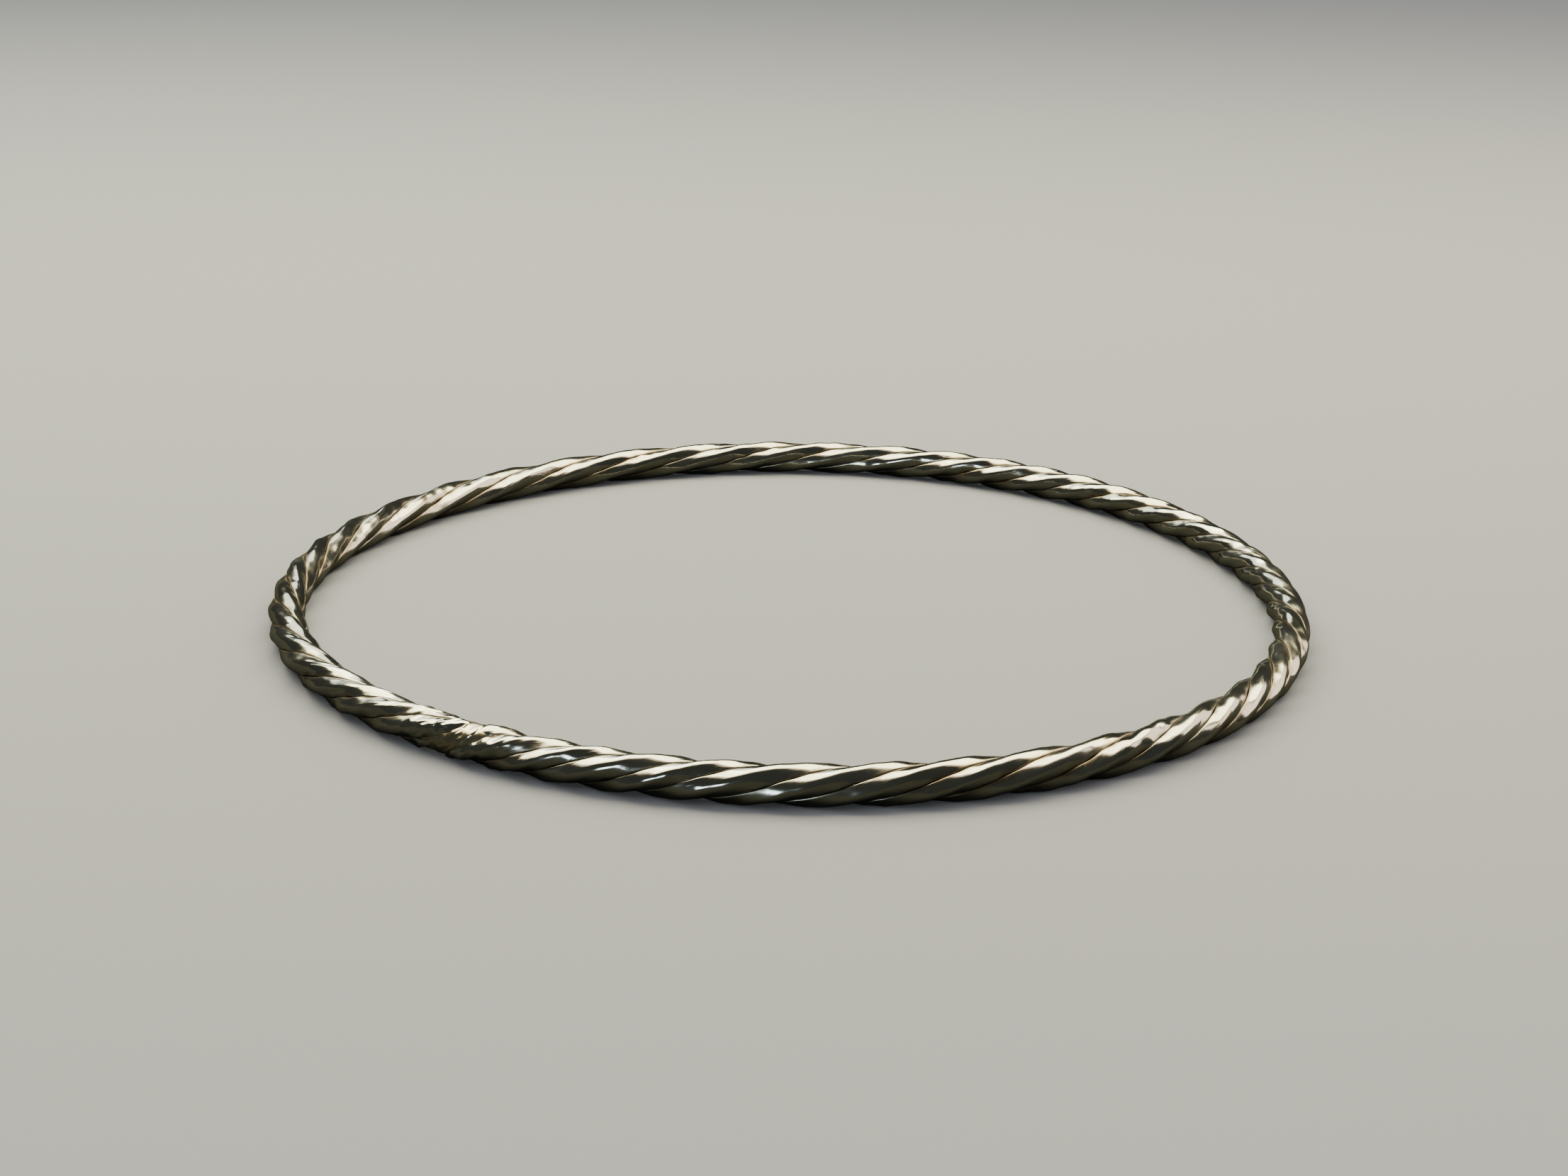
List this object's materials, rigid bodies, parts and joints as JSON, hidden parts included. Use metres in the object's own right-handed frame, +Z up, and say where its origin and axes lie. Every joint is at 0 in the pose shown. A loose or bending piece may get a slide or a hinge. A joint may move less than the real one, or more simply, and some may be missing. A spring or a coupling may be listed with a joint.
{
  "type": "twisted wire bangle",
  "caption": "Closed round bangle of silver wires pressed together and twisted into a rope-like rod, joined with solder.",
  "frame": {"origin": "on the surface that the bangle lies on, under the middle of its box", "axes": "+Z up through the middle of the ring; the soldered joint is on the -Y side, 37 degrees towards -X"},
  "size_m": [0.07, 0.07, 0.0026],
  "materials": {
    "silver": "polished, lightly tarnished",
    "solder": "filed and rubbed, warmer than the wires"
  },
  "bodies": {
    "root": {"wire_1": "silver", "wire_2": "silver", "wire_3": "silver", "wire_4": "silver", "solder_joint": "solder"}
  },
  "joints": []
}
